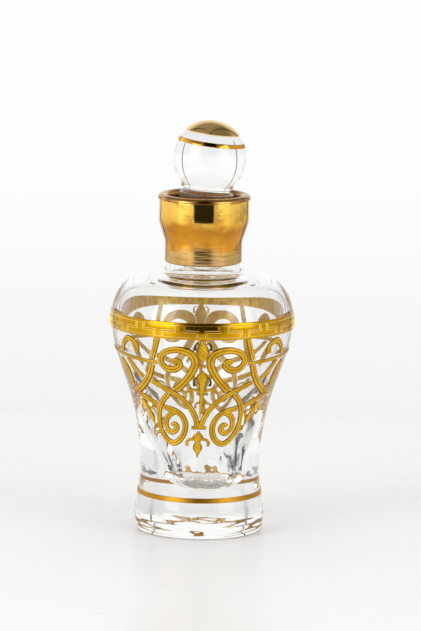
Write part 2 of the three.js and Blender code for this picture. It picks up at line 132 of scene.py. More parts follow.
def turned(profile, sides):
    """Grid of a (radius, height) profile turned about Z: x = r sin a, y = -r cos a, z = height."""
    angle = np.linspace(0, 2 * np.pi, sides, endpoint=False)
    radius, height = profile[:, :1], profile[:, 1:]
    return np.stack([radius * np.sin(angle), -radius * np.cos(angle), height + 0 * angle], axis=-1)


def skin(grid, uv=None, wrap=(False, True)):
    """Closed surface over a grid of points: a quad for each cell, wrapped where it closes on itself, and a
    fan of triangles to the middle of an open first and last row. Its faces are turned to enclose a
    positive volume. The UV map has a pair for each grid point, with one more line where the grid wraps.
    """
    rows, columns = grid.shape[:2]
    if uv is None:
        uv = np.stack(np.meshgrid(np.arange(rows + 1.0), np.arange(columns + 1.0), indexing="ij"), axis=-1)
    i, j = np.meshgrid(np.arange(rows - (not wrap[0])), np.arange(columns - (not wrap[1])), indexing="ij")
    corners = [(i, j), (i + 1, j), (i + 1, j + 1), (i, j + 1)]
    faces = [np.stack([(a % rows) * columns + b % columns for a, b in corners], -1).reshape(-1, 4)]
    maps = [np.stack([uv[a, b] for a, b in corners], -2).reshape(-1, 4, 2)]
    points = grid.reshape(-1, 3)
    if not wrap[0]:
        k = np.arange(columns)
        for row, order in ((0, 1), (rows - 1, -1)):
            rim = np.stack([row * columns + k, row * columns + (k + 1) % columns], -1)[:, ::order]
            faces.append(np.column_stack([rim, np.full(columns, len(points))]))
            maps.append(np.repeat(uv[row, k][:, None], 3, axis=1))
            points = np.vstack([points, grid[row].mean(0)])
    corner_sets = [points[f[:, :3]] for f in faces] + [points[faces[0][:, [0, 2, 3]]]]
    volume = sum(np.einsum("ij,ij->", t[:, 0], np.cross(t[:, 1], t[:, 2])) for t in corner_sets)
    if volume < 0:
        faces = [f[:, ::-1] for f in faces]
        maps = [m[:, ::-1] for m in maps]
    return points, faces, maps


def placed(name, data):
    """New object at the origin of the scene."""
    made = bpy.data.objects.new(name, data)
    bpy.context.scene.collection.objects.link(made)
    return made


def piece(name, surfaces, material, body, slot, *nodes, crease=40):
    """One object from closed surfaces, smooth but for edges sharper than the crease in degrees. It rides on
    a body, takes the material's finish and stands for the named nodes. The slot is not used.
    """
    points, faces, maps, start = [], [], [], 0
    for surface in surfaces:
        points.append(surface[0])
        faces += [row for block in surface[1] for row in (block + start).tolist()]
        maps += [block.reshape(-1, 2) for block in surface[2]]
        start += len(surface[0])
    mesh = bpy.data.meshes.new(name)
    mesh.from_pydata(np.vstack(points) * MM, [], faces)
    mesh.uv_layers.new(name="UVMap").data.foreach_set("uv", np.vstack(maps).ravel())
    mesh.shade_smooth()
    mesh.set_sharp_from_angle(angle=np.radians(crease))
    mesh.materials.append(material)
    made = placed(name, mesh)
    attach(made, body)
    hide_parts(*nodes)
    return made


def node(tree, kind, inputs=None, **settings):
    """Add a shader node, set its options, and fill or link its inputs."""
    new = tree.nodes.new(kind)
    for key, value in settings.items():
        setattr(new, key, value)
    for key, value in (inputs or {}).items():
        if isinstance(value, bpy.types.NodeSocket):
            tree.links.new(value, new.inputs[key])
        else:
            new.inputs[key].default_value = value
    return new


def noise(tree, place, scale, detail):
    """Noise from 0 to 1 at a place in metres, with scale features to the metre."""
    inputs = {"Vector": place, "Scale": scale, "Detail": detail}
    return node(tree, "ShaderNodeTexNoise", inputs).outputs["Fac"]


def bumped(tree, height, strength, distance, **base):
    """Normal of a face raised by a height, up to a distance in metres, over a base Normal or its own."""
    inputs = {"Height": height, "Strength": strength, "Distance": distance, **base}
    return node(tree, "ShaderNodeBump", inputs).outputs["Normal"]


def finish(name, constants):
    """New material with one principled shader, given the constant values of its sockets."""
    made = bpy.data.materials.new(name)
    made.use_nodes = True
    for key, value in constants.items():
        made.node_tree.nodes["Principled BSDF"].inputs[key].default_value = value
    return made, made.node_tree


def drive(tree, sockets):
    """Link what changes over the surface to the sockets of a material's principled shader."""
    for key, socket in sockets.items():
        tree.links.new(socket, tree.nodes["Principled BSDF"].inputs[key])


def outer_wall():
    """Outside of the glass from the edge of the base to the lip, as (radius, height)."""
    root_r = NECK_R + NECK_FILLET
    return np.vstack([
        arc((FOOT_R - HEEL_WIDTH, FOOT_Z), HEEL_WIDTH, FOOT_Z, -90, 0, 16)[:-1],
        bezier((FOOT_R, FOOT_Z), (FOOT_R, FOOT_Z + FOOT_HANDLE),
               (WAIST_R, WAIST_Z - WAIST_HANDLE_DOWN), (WAIST_R, WAIST_Z), 20)[:-1],
        bezier((WAIST_R, WAIST_Z), (WAIST_R, WAIST_Z + WAIST_HANDLE_UP),
               (SHOULDER_R, SHOULDER_Z - SHOULDER_HANDLE_DOWN), (SHOULDER_R, SHOULDER_Z), 60)[:-1],
        bezier((SHOULDER_R, SHOULDER_Z), (SHOULDER_R, SHOULDER_Z + SHOULDER_HANDLE_UP),
               (root_r + NECK_ROOT_HANDLE, BODY_H), (root_r, BODY_H), 36)[:-1],
        arc((root_r, BODY_H + NECK_FILLET), NECK_FILLET, NECK_FILLET, 270, 180, 6)[:-1],
        rounded([(NECK_R, BODY_H + NECK_FILLET), (NECK_R, TAPER_Z), (MOUTH_OUTER_R, MOUTH_Z),
                 (MOUTH_OUTER_R, LIP_Z - LIP_OVERHANG)], EDGE_ROUNDING),
    ])


def lip_arc(lift, first, last, steps=16):
    """Rounded lip of the mouth, lifted off the glass by a little."""
    middle = (MOUTH_R + MOUTH_OUTER_R + LIP_OVERHANG) / 2
    width = MOUTH_OUTER_R + LIP_OVERHANG - middle + lift
    return arc((middle, LIP_Z), width, LIP_H + lift, first, last, steps)


def inner_wall():
    """Inside of the glass from the mouth down to the middle of the floor, as (radius, height)."""
    shoulder = SHOULDER_R - SHOULDER_WALL
    ceiling = BODY_H - SHOULDER_WALL
    ceiling_r = BORE_R + INNER_FILLET
    return np.vstack([
        rounded([(MOUTH_R, LIP_Z), (MOUTH_R, MOUTH_Z), (BORE_R, FUNNEL_Z), (BORE_R, ceiling + INNER_FILLET)],
                EDGE_ROUNDING)[1:-1],
        arc((ceiling_r, ceiling + INNER_FILLET), INNER_FILLET, INNER_FILLET, 180, 270, 10)[:-1],
        bezier((ceiling_r, ceiling), (ceiling_r + INNER_ROOT_HANDLE, ceiling),
               (shoulder, SHOULDER_Z + INNER_SHOULDER_HANDLE_UP), (shoulder, SHOULDER_Z), 32)[:-1],
        bezier((shoulder, SHOULDER_Z), (shoulder, SHOULDER_Z - SHOULDER_HANDLE_DOWN),
               (WELL_R + WELL_FLARE, WELL_Z + SHOULDER_HANDLE_DOWN), (WELL_R, WELL_Z), 60)[:-1],
        bezier((WELL_R, WELL_Z), (WELL_R, WELL_Z - WELL_HANDLE),
               (WELL_R / 2, FLOOR_Z), (POLE_R, FLOOR_Z), 24),
    ])


def hollow(grid):
    """The blown hollow is never true: it leans off the axis towards its floor, and its wall ripples by waves
    that fade out at the shoulder, each size * sin(turns * angle + z / length + phase).
    """
    x, y, z = grid[..., 0], grid[..., 1], grid[..., 2]
    angle = np.arctan2(x, -y)
    depth = np.clip((FLOOR_Z + HOLLOW_SHIFT_REACH - z) / HOLLOW_SHIFT_REACH, 0, 1) ** 2
    waves = sum(size * np.sin(turns * angle + z / length + phase)
                for size, turns, length, phase in HOLLOW_WAVES)
    swell = 1 + RIPPLE * depth * waves / WELL_R
    return np.stack([x * swell + HOLLOW_SHIFT * depth, y * swell, z], axis=-1)


def pressed(grid):
    """The pressed heel is uneven: level waves up its side, whose phase drifts round the glass and which fade
    out towards the foot line and the edge of the base.
    """
    x, y, z = grid[..., 0], grid[..., 1], grid[..., 2]
    angle = np.arctan2(x, -y)
    fade = np.clip(1 - z / HEEL_RIPPLE_TOP, 0, 1) * np.clip(z / HEEL_RIPPLE_FOOT, 0, 1)
    waves = (np.sin(2.6 * z + 2 * np.sin(3 * angle + 1))
             + 0.8 * np.sin(1.7 * z + 1.6 * np.sin(5 * angle) + 7 * angle))
    swell = 1 + HEEL_RIPPLE * fade * waves / FOOT_R
    return np.stack([x * swell, y * swell, z], axis=-1)


WALL = outer_wall()
base_r = np.linspace(POLE_R, FOOT_R - HEEL_WIDTH, 24)[:-1]
base = np.column_stack([base_r, PUNT_RISE * np.clip(1 - (base_r / PUNT_R) ** 2, 0, 1) ** 2])
outside = pressed(turned(np.vstack([base, WALL, lip_arc(0, 0, 180)]), GLASS_SIDES))
inside = hollow(turned(inner_wall(), GLASS_SIDES))

clear_glass, tree = finish("clear_glass", {
    "Base Color": (0.99, 0.995, 0.99, 1),
    "Roughness": 0.0,
    "IOR": 1.5,
    "Transmission Weight": 1.0,
})
waves = noise(tree, node(tree, "ShaderNodeTexCoord").outputs["Object"], scale=70.0, detail=1.0)
drive(tree, {"Normal": bumped(tree, waves, strength=0.12, distance=0.0004)})
piece("clear_bottle", [skin(np.vstack([outside, inside]))], clear_glass,
      "bottle", "clear_glass", "bottle_glass")

# Neck collar, lip and mouth lining
# Liquid gold painted over the neck and mouth and fired on: bright and mirror-like on the collar, browner
# and satin over the lip and down the inside of the mouth, where it is thin and handled.
GILD_SINK = 0.03
GILD_RISE = 0.22
COLLAR_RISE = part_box("neck_collar")[1].x / MM - MOUTH_OUTER_R
LIP_RISE = 0.42
LIP_START = -4
COLLAR_BOTTOM, COLLAR_TOP = (corner.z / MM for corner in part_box("neck_collar"))
LINING_BOTTOM, LINING_TOP = (corner.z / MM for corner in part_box("mouth_lining"))
# The darker orange from 0.32 to 0.58 lies over the taper: painted reflection of the table and its shadow.
COLLAR_TONES_AND_TAPER_REFLECTION = [(0.0, (202, 166, 112)), (0.2, (220, 178, 104)), (0.32, (226, 158, 52)),
                (0.58, (200, 134, 42)), (0.7, (244, 192, 80)), (1.0, (252, 206, 94))]
TONE_DRIFT = 0.004
STREAK_SCALE = (70, 70, 1100)
WORN_STREAKS = (0.6, 0.72)
WORN_HEIGHT, WORN_LEVELS = (0.3, 0.5), (1.0, 0.12)
BURNT_SMUDGES = (0.47, 0.68)
MARK_SHARE = (0.0, 0.6)
GLOSS_HEIGHT, GLOSS_LEVELS = (0.28, 0.42), (0.18, 0.07)
COLLAR_UNDER_MATT = 0.4
UNDER_FACING = -0.3
NOISE_CORE = (0.3, 0.7)


def display(red, green, blue):
    """Linear colour of a display colour from 0 to 255, by the sRGB curve."""
    share = np.array([red, green, blue]) / 255
    linear = np.where(share <= 0.04045, share / 12.92, ((share + 0.055) / 1.055) ** 2.4)
    return (*linear.tolist(), 1.0)


BRIGHT_GOLD = display(250, 196, 84)
DEEP_GOLD = display(232, 160, 52)
SATIN_GOLD = display(234, 180, 100)
WORN_GOLD = display(120, 84, 48)
BURNT_GOLD = display(176, 118, 44)
UNDER_GOLD = display(255, 216, 66)
UNDER_DARK = display(226, 170, 34)


def wall_radius(height):
    """Radius of the outside of the glass at a height."""
    return np.interp(height, WALL[:, 1], WALL[:, 0])


def ring(profile):
    """Closed ring round the glass of a closed (radius, height) outline."""
    return skin(turned(profile, GLASS_SIDES), wrap=(True, True))


def band(bottom, top, rise=GILD_RISE, crown=0.0, steps=48):
    """Closed ring of gilding round the glass: its outer face is lifted off the wall and drawn in at both
    edges, and its inner face is sunk a little into the glass, so that the two meet without air between them.
    """
    share = (1 - np.cos(np.linspace(0, np.pi, steps))) / 2
    height = bottom + (top - bottom) * share
    edge = np.minimum(1, np.minimum(share, 1 - share) * (top - bottom) / rise)
    lift = (rise + crown * (1 - share ** 2)) * np.sqrt(1 - (1 - edge) ** 2)
    front = np.column_stack([wall_radius(height) + lift, height])
    back = np.column_stack([wall_radius(height) - GILD_SINK, height])[::-1]
    return ring(np.vstack([front, back]))


def calc(tree, operation, *values, clamp=False):
    """Result of a maths node whose inputs are values or sockets."""
    made = node(tree, "ShaderNodeMath", dict(enumerate(values)), operation=operation, use_clamp=clamp)
    return made.outputs["Value"]


def ranged(tree, value, source=(0.0, 1.0), target=(0.0, 1.0), kind="LINEAR"):
    """Value mapped from a source range to a target range, and held at its ends."""
    inputs = {"Value": value, "From Min": source[0], "From Max": source[1],
              "To Min": target[0], "To Max": target[1]}
    return node(tree, "ShaderNodeMapRange", inputs, interpolation_type=kind).outputs["Result"]


def blend(tree, share, first, second):
    """Colour that goes from the first to the second by a share."""
    inputs = {"Factor": share, "A": first, "B": second}
    return node(tree, "ShaderNodeMix", inputs, data_type="RGBA").outputs["Result"]


def gold(name, light, deep, roughness, grain):
    """Fired gold: metal whose colour drifts in slow clouds between two tones, over a faint ripple, with a
    finer grain in its roughness.
    """
    made, tree = finish(name, {"Metallic": 1.0})
    place = node(tree, "ShaderNodeTexCoord").outputs["Object"]
    clouds = noise(tree, place, scale=90.0, detail=3.0)
    specks = noise(tree, place, scale=1400.0, detail=2.0)
    drive(tree, {
        "Base Color": blend(tree, ranged(tree, clouds, NOISE_CORE), light, deep),
        "Roughness": ranged(tree, specks, NOISE_CORE, (roughness - grain, roughness + grain)),
        "Normal": bumped(tree, clouds, strength=0.1, distance=0.0003),
    })
    return made


def bearing(tree, place):
    """Level direction from the Z axis towards a place: place * (1, 1, 0) at a length of 1."""
    level = node(tree, "ShaderNodeVectorMath", {0: place, 1: (1, 1, 0)}, operation="MULTIPLY")
    inputs = {0: level.outputs["Vector"]}
    return node(tree, "ShaderNodeVectorMath", inputs, operation="NORMALIZE").outputs["Vector"]


def underside(tree, coordinates):
    """1 on faces that look at the axis of the bottle, where gilding is seen through the glass, or else 0."""
    inputs = {0: bearing(tree, coordinates.outputs["Object"]), 1: coordinates.outputs["Normal"]}
    facing = node(tree, "ShaderNodeVectorMath", inputs, operation="DOT_PRODUCT").outputs["Value"]
    return calc(tree, "LESS_THAN", facing, UNDER_FACING)


def collar_gold():
    """Bright gold whose tone changes up the neck: pale and streaked at the bottom and clear yellow round the
    mouth, as the firing left it, and a darker orange over the taper, which is painted reflection of the
    table and of the bottle's own shadow, which the taper faces as it slopes down. The bounds of the tones
    wander with slow noise.
    Its face against the glass is a matt, cloudy gold.
    """
    made, tree = finish("collar_gilding", {})
    coordinates = node(tree, "ShaderNodeTexCoord")
    place, under = coordinates.outputs["Object"], underside(tree, coordinates)
    height = node(tree, "ShaderNodeSeparateXYZ", {"Vector": place}).outputs["Z"]
    clouds = noise(tree, place, scale=110.0, detail=3.0)
    wander = calc(tree, "ADD", height, ranged(tree, clouds, target=(-TONE_DRIFT, TONE_DRIFT)))
    share = ranged(tree, wander, (COLLAR_BOTTOM * MM, COLLAR_TOP * MM))
    ramp = node(tree, "ShaderNodeValToRGB", {"Fac": share})
    tones = ramp.color_ramp.elements
    for at, tone in COLLAR_TONES_AND_TAPER_REFLECTION[1:-1]:
        tones.new(at).color = display(*tone)
    tones[0].color = display(*COLLAR_TONES_AND_TAPER_REFLECTION[0][1])
    tones[-1].color = display(*COLLAR_TONES_AND_TAPER_REFLECTION[-1][1])
    stretch = node(tree, "ShaderNodeMapping", {"Vector": place, "Scale": STREAK_SCALE}).outputs["Vector"]
    streaks = noise(tree, stretch, scale=1.0, detail=2.0)
    low = ranged(tree, share, WORN_HEIGHT, WORN_LEVELS)
    worn = calc(tree, "MULTIPLY", ranged(tree, streaks, WORN_STREAKS, MARK_SHARE), low)
    burnt = ranged(tree, noise(tree, place, scale=210.0, detail=5.0), BURNT_SMUDGES, MARK_SHARE)
    front = blend(tree, worn, blend(tree, burnt, ramp.outputs["Color"], BURNT_GOLD), WORN_GOLD)
    back = blend(tree, burnt, UNDER_GOLD, UNDER_DARK)
    gloss = ranged(tree, share, GLOSS_HEIGHT, GLOSS_LEVELS)
    ripple = bumped(tree, clouds, strength=0.38, distance=0.0003)
    drive(tree, {
        "Base Color": blend(tree, under, front, back),
        "Metallic": calc(tree, "SUBTRACT", 1.0, under),
        "Roughness": calc(tree, "MULTIPLY_ADD", under, COLLAR_UNDER_MATT, gloss),
        "Normal": bumped(tree, streaks, strength=low, distance=0.0001, Normal=ripple),
    })
    return made


bright_gilding = gold("bright_gilding", BRIGHT_GOLD, DEEP_GOLD, roughness=0.07, grain=0.04)
satin_gilding = gold("satin_gilding", SATIN_GOLD, WORN_GOLD, roughness=0.2, grain=0.06)
piece("gold_collar", [band(COLLAR_BOTTOM, LIP_Z, COLLAR_RISE)], collar_gold(), "bottle", "bright_gilding",
      "neck_collar")
lip_ring = np.vstack([lip_arc(LIP_RISE, LIP_START, 180), lip_arc(-GILD_SINK, 180, LIP_START)])
piece("gold_lip", [ring(lip_ring)], satin_gilding, "bottle", "satin_gilding", "gilded_lip")
lining = rounded([(MOUTH_R + GILD_SINK, LINING_TOP), (MOUTH_R - GILD_RISE, LINING_TOP),
                  (MOUTH_R - GILD_RISE, LINING_BOTTOM), (MOUTH_R + GILD_SINK, LINING_BOTTOM)], GILD_RISE / 2)
piece("gold_lining", [ring(lining)], satin_gilding, "bottle", "satin_gilding", "mouth_lining")

# Foot line and key band
# Two rings of fired gold: a plain thin line above the foot, and a broad band round the shoulder. The band
# carries a fret of upright and hanging T shapes, drawn as thin raised lines of paste under the gold.
LINE_BOTTOM, LINE_TOP = (corner.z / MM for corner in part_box("foot_line"))
BAND_BOTTOM, BAND_TOP = (corner.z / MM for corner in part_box("key_band"))
BAND_SPREAD_DOWN = 0.3
BAND_SPREAD_UP = 0.6
BAND_FOOT, BAND_HEAD = BAND_BOTTOM - BAND_SPREAD_DOWN, BAND_TOP + BAND_SPREAD_UP
BAND_CROWN = 0.42
FRET_PAIRS = 13
FRET_BAR = 21.0
FRET_STEM = 4.6
FRET_LINE_W = 0.38
FRET_RISE = 0.2
FRET_EDGE = 0.16
FRET_MIDDLE = 0.06
FRET_STEPS = 6
STROKE_SCALE = (1, 1, 0.25)
UNDER_GRAINS = (0.35, 0.65)
GRAIN_DEPTH = 0.00008
LINE_GOLD = display(222, 166, 52)
LINE_DEEP = display(180, 128, 38)
BAND_GOLD = display(218, 166, 22)
BAND_DEEP = display(196, 142, 14)
FRET_GOLD = display(248, 214, 112)


def on_glass(angle, height, lift):
    """Points on the wall: the radius there and a lift, turned by an angle in degrees from the front."""
    radius = wall_radius(height) + lift
    turn = np.radians(angle)
    return np.stack([radius * np.sin(turn), -radius * np.cos(turn), height + 0 * turn], axis=-1)


def fret_line(middle, up):
    """Raised outline of one T: its bar near one edge of the band and its stem towards the other. The corners
    are [degrees from the middle, share of the band], and each side is cut into short steps round the glass.
    """
    bar, stem = FRET_BAR / 2, FRET_STEM / 2
    low, high = 0.5 + FRET_MIDDLE, 1 - FRET_EDGE
    corners = np.array([(-stem, FRET_EDGE), (-stem, low), (-bar, low), (-bar, high),
                        (bar, high), (bar, low), (stem, low), (stem, FRET_EDGE)])
    if not up:
        corners[:, 1] = 1 - corners[:, 1]
    after = np.roll(corners, -1, axis=0)
    steps = np.linspace(0, 1, FRET_STEPS, endpoint=False)[None, :, None]
    path = (corners[:, None] * (1 - steps) + after[:, None] * steps).reshape(-1, 2)
    angle = middle + path[:, 0]
    height = BAND_FOOT + (BAND_HEAD - BAND_FOOT) * path[:, 1]
    per_degree = np.radians(1) * wall_radius(height)
    flat = np.column_stack([path[:, 0] * per_degree.mean(), height])
    before = flat - np.roll(flat, 1, axis=0)
    ahead = np.roll(flat, -1, axis=0) - flat
    before /= np.linalg.norm(before, axis=1, keepdims=True)
    ahead /= np.linalg.norm(ahead, axis=1, keepdims=True)
    normal = np.column_stack([-(before + ahead)[:, 1], (before + ahead)[:, 0]])
    normal /= (1 + np.sum(before * ahead, axis=1))[:, None]
    side = np.array([-1, -0.5, 0.5, 1])[None] * FRET_LINE_W / 2
    lift = np.array([0, FRET_RISE, FRET_RISE, 0])[None] + GILD_RISE
    crown = BAND_CROWN * (1 - path[:, 1:] ** 2)
    grid = on_glass(angle[:, None] + normal[:, :1] * side / per_degree[:, None],
                    height[:, None] + normal[:, 1:] * side, lift + crown - GILD_SINK)
    return skin(grid, wrap=(True, True))


def two_faced(tree, under, front, back, specks, gloss, matt, relief):
    """Gold that is grained outside, and smooth but more matt underneath, as seen through the glass."""
    drive(tree, {
        "Base Color": blend(tree, under, front, back),
        "Roughness": calc(tree, "MULTIPLY_ADD", under, matt, ranged(tree, specks, NOISE_CORE, gloss)),
        "Normal": bumped(tree, specks, calc(tree, "SUBTRACT", relief, under, clamp=True), GRAIN_DEPTH),
    })


def band_gold(name, light, deep):
    """Gold on the shoulder: bright and cloudy outside, and yellow and brushed underneath."""
    made, tree = finish(name, {"Metallic": 1.0})
    coordinates = node(tree, "ShaderNodeTexCoord")
    place = coordinates.outputs["Object"]
    strokes = node(tree, "ShaderNodeMapping", {"Vector": place, "Scale": STROKE_SCALE}).outputs["Vector"]
    specks = noise(tree, strokes, scale=800.0, detail=3.0)
    clouds = noise(tree, place, scale=160.0, detail=3.0)
    front = blend(tree, ranged(tree, clouds, NOISE_CORE), light, deep)
    back = blend(tree, ranged(tree, specks, UNDER_GRAINS), UNDER_GOLD, UNDER_DARK)
    two_faced(tree, underside(tree, coordinates), front, back, specks,
              gloss=(0.12, 0.24), matt=0.3, relief=0.15)
    return made


band_gilding = band_gold("band_gilding", BAND_GOLD, BAND_DEEP)
fret_gilding = band_gold("fret_gilding", FRET_GOLD, FRET_GOLD)
line_gilding = gold("line_gilding", LINE_GOLD, LINE_DEEP, roughness=0.4, grain=0.06)
piece("gold_foot_line", [band(LINE_BOTTOM, LINE_TOP, steps=24)], line_gilding, "bottle", "bright_gilding",
      "foot_line")
piece("gold_key_band", [band(BAND_FOOT, BAND_HEAD, crown=BAND_CROWN)], band_gilding,
      "bottle", "raised_gilding", "key_band")
half_pitch = 180 / FRET_PAIRS
frets = [fret_line(k * half_pitch, k % 2 == 0) for k in range(2 * FRET_PAIRS)]
piece("gold_key_fret", frets, fret_gilding, "bottle", "raised_gilding")

# Raised strapwork
# Interlaced straps of gold paste piped on the glass and fired: two mirrored motifs, front and back, with
# links, crooks and leaves on the flanks. A strap that passes under another stops short of it on both sides.
MOTIF_TURN = 1.0
MOTIF_LEAN = 0.0056
LEAN_START = 14.0
LEAN_END = 38.0
SCROLL_W = 2.7
STRAP_W = 2.2
CURL_W = 2.1
STEM_W = 2.1
THIN_W = 1.5
ARM_W = 1.1
LEAF_W = 4.4
LEG_W = 2.7
CROOK_W = 2.3
CROOK_BULB = 0.8
TIP_W = 0.4
TIE_W = 1.3
LOZENGE_NECK_W = 2.0
LOZENGE_W = 5.6
LOZENGE_H = 8.8
LOZENGE_DROP = 0.3
LOZENGE_NECK = 0.12
LOZENGE_CORNER = 0.55
SCROLL_TIE_DROP = 10.05
SCROLL_TIE_REACH = 4.4
SPEAR_W = 4.4
SPEAR_BLADE_W = 2.6
SPEAR_DROP = 11.85
SPEAR_H = 18.4
LILY_DROP = 35.2
LILY_H = 9.9
LILY_W = 3.8
LILY_BLADE_W = 3.4
CORNER_LILY = 0.8
HATCH = 1.0
HATCH_DEPTH = 0.5
HATCH_SHARP = 0.6
HOOK_W = 1.1
UNDERPASS = 0.32
STRAP_RISE = 0.34
STRAP_GROOVE = 0.07
GROOVE_W = 0.12
FULL_RISE_HALF = 0.7
END_ROUNDING = 0.3
PATH_STEP = 0.12
CURVE_STEPS = 80
MESH_STEP = 0.3
SHORT_RUN = 12
CORNER = (58.6, 22.4)
FOLD_STEPS = 9
TIE_DROP = 33.9
TIE_REACH = 6.6
HOOK_TONE, HOOK_FROM = 1.5, 1.2
UNDER_TONE, UNDER_FROM = 3.0, 2.0
EDGE_REACH = (0.6, 0.82)
GROOVE_REACH = (0.05, 0.2)
STRAP_CLOUDS = (0.35, 0.65)
STRAP_GOLD = display(238, 190, 56)
STRAP_DEEP = display(212, 162, 38)
STRAP_EDGE = display(150, 104, 20)
STRAP_GROOVE_GOLD = display(136, 86, 12)
HOOK_DARK = display(74, 62, 40)


def surface(places, lift=0.0):
    """Points on the glass of places given as [degrees, millimetres below the band]."""
    return on_glass(places[..., 0], BAND_BOTTOM - places[..., 1], lift)


def drawn(points):
    """Even places along a uniform Catmull-Rom curve through points of [degrees, millimetres below the band],
    spaced by their distance on the glass.
    """
    knots = np.array(points, float)
    held = np.vstack([knots[:1], knots, knots[-1:]])
    t = np.linspace(0, len(knots) - 1, CURVE_STEPS * len(knots))
    i = np.minimum(t.astype(int), len(knots) - 2)
    w = (t - i)[:, None]
    p0, p1, p2, p3 = held[i], held[i + 1], held[i + 2], held[i + 3]
    leave, arrive = (p2 - p0) / 2, (p3 - p1) / 2
    curve = ((2 * p1 - 2 * p2 + leave + arrive) * w ** 3 + (3 * p2 - 3 * p1 - 2 * leave - arrive) * w ** 2
             + leave * w + p1)
    steps = np.linalg.norm(np.diff(surface(curve), axis=0), axis=1)
    length = np.concatenate([[0], np.cumsum(steps)])
    even = np.linspace(0, length[-1], max(8, int(length[-1] / PATH_STEP)))
    return np.column_stack([np.interp(even, length, curve[:, k]) for k in (0, 1)])


def upright(angle, drop, height):
    """Straight path down the glass."""
    share = np.linspace(0, 1, max(8, int(height / PATH_STEP)))
    return np.column_stack([np.full_like(share, angle), drop + height * share])


def run_shares(count):
    """Shares of a run at which its mesh has rows: even ones that crowd together towards both ends."""
    if count < SHORT_RUN:
        return (1 - np.cos(np.linspace(0, np.pi, count))) / 2
    crowd = np.array([0, 0.15, 0.5]) / count
    return np.concatenate([crowd, np.linspace(1 / count, 1 - 1 / count, count), 1 - crowd[::-1]])


def strap(path, width, overs=(), mitre=None, hatch=0, tone=None, rows=13):
    """Runs of a raised strap along a path of [degrees, drop]. Across it, the crown is 1 - t^8 with a groove
    along its middle. The strap stops, row by row, where a strap in overs with its half width and a gap is in
    the way, or past the mitre, a place and a direction. Hatching cuts slanting lines, pitch in millimetres,
    of the form (1 + s) cos - s. A tone takes the place of t in the UV map, which tells the strap's finish.
    Gives a list of (places, lift, UV map) grids, whose last columns run back along the underside.
    """
    drop_r = np.radians(1) * wall_radius(BAND_BOTTOM - path[:, 1])
    flat = np.gradient(path, axis=0) * np.column_stack([drop_r, np.ones_like(drop_r)])
    flat /= np.linalg.norm(flat, axis=1, keepdims=True)
    share = np.linspace(0, 1, len(path))
    half = (width(share) if callable(width) else np.full_like(share, width)) / 2
    t = np.sin(np.linspace(-np.pi / 2, np.pi / 2, rows))
    side = half[:, None] * t[None]
    places = np.stack([path[:, :1] + flat[:, 1:] * side / drop_r[:, None],
                       path[:, 1:] - flat[:, :1] * side], axis=-1)
    solid = surface(places)
    clear = np.ones(solid.shape[:2], bool)
    for over_path, over_half in overs:
        gap = solid.reshape(-1, 1, 3) - surface(over_path)[None, ::2]
        near = np.sqrt((gap ** 2).sum(-1).min(1)).reshape(clear.shape)
        clear &= near > over_half + UNDERPASS
    if mitre is not None:
        clear &= (solid - mitre[0]) @ mitre[1] > 0
    number = np.arange(len(path))
    change = np.diff(np.concatenate([[False], clear[:, rows // 2], [False]]).astype(int))
    last_stop = np.maximum.accumulate(np.where(clear, -1, number[:, None]), axis=0)
    next_stop = np.minimum.accumulate(np.where(clear, len(path), number[:, None])[::-1], axis=0)[::-1]
    step = np.linalg.norm(np.diff(surface(path), axis=0), axis=1).mean()
    runs = []
    for start, end in zip(np.flatnonzero(change == 1), np.flatnonzero(change == -1)):
        if (end - start) * step < 2 * END_ROUNDING:
            continue
        inside = (start + end) // 2
        first, last = last_stop[inside] + 1, next_stop[inside] - 1
        shares = run_shares(max(6, int((end - start) * step / (MESH_STEP if not hatch else PATH_STEP))))
        at = first[None] + (last - first)[None] * shares[:, None]
        low = np.clip(np.floor(at).astype(int), 0, len(path) - 2)
        part = (at - low)[..., None]
        row = np.arange(rows)[None]
        grid = places[low, row] * (1 - part) + places[low + 1, row] * part
        from_end = np.minimum(at - first[None], last[None] - at) * step
        end_fall = np.sqrt(np.clip(1 - (1 - np.minimum(1, from_end / END_ROUNDING)) ** 2, 0, 1))
        breadth = np.minimum(1, half[low] / FULL_RISE_HALF)
        crown = STRAP_RISE * breadth * (1 - t[None] ** 8)
        across = (t[None] if tone is None else tone) + 0 * at
        if hatch:
            slant = (grid[..., 0] - path[0, 0]) * drop_r.mean() + np.sign(hatch) * grid[..., 1]
            wave = np.cos(2 * np.pi * slant / abs(hatch) / 2 ** 0.5)
            cut = np.clip((1 + HATCH_SHARP) * wave - HATCH_SHARP, 0, 1)
            crown = crown * (1 - HATCH_DEPTH * cut)
            across = np.maximum(np.abs(across), 0.3 + 0.55 * cut)
        else:
            crown = crown - STRAP_GROOVE * breadth * np.exp(-(t[None] / GROOVE_W) ** 2)
        lift = GILD_SINK + np.maximum(crown, 0) * end_fall
        below = np.full_like(lift, UNDER_TONE)
        across = np.concatenate([across, below, below[:, :1]], 1)
        runs.append((np.concatenate([grid, grid[:, ::-1]], 1),
                     np.concatenate([lift, np.full_like(lift, -GILD_SINK)], 1),
                     np.stack([at[:, rows // 2, None] * step + 0 * across, across], axis=-1)))
    return runs


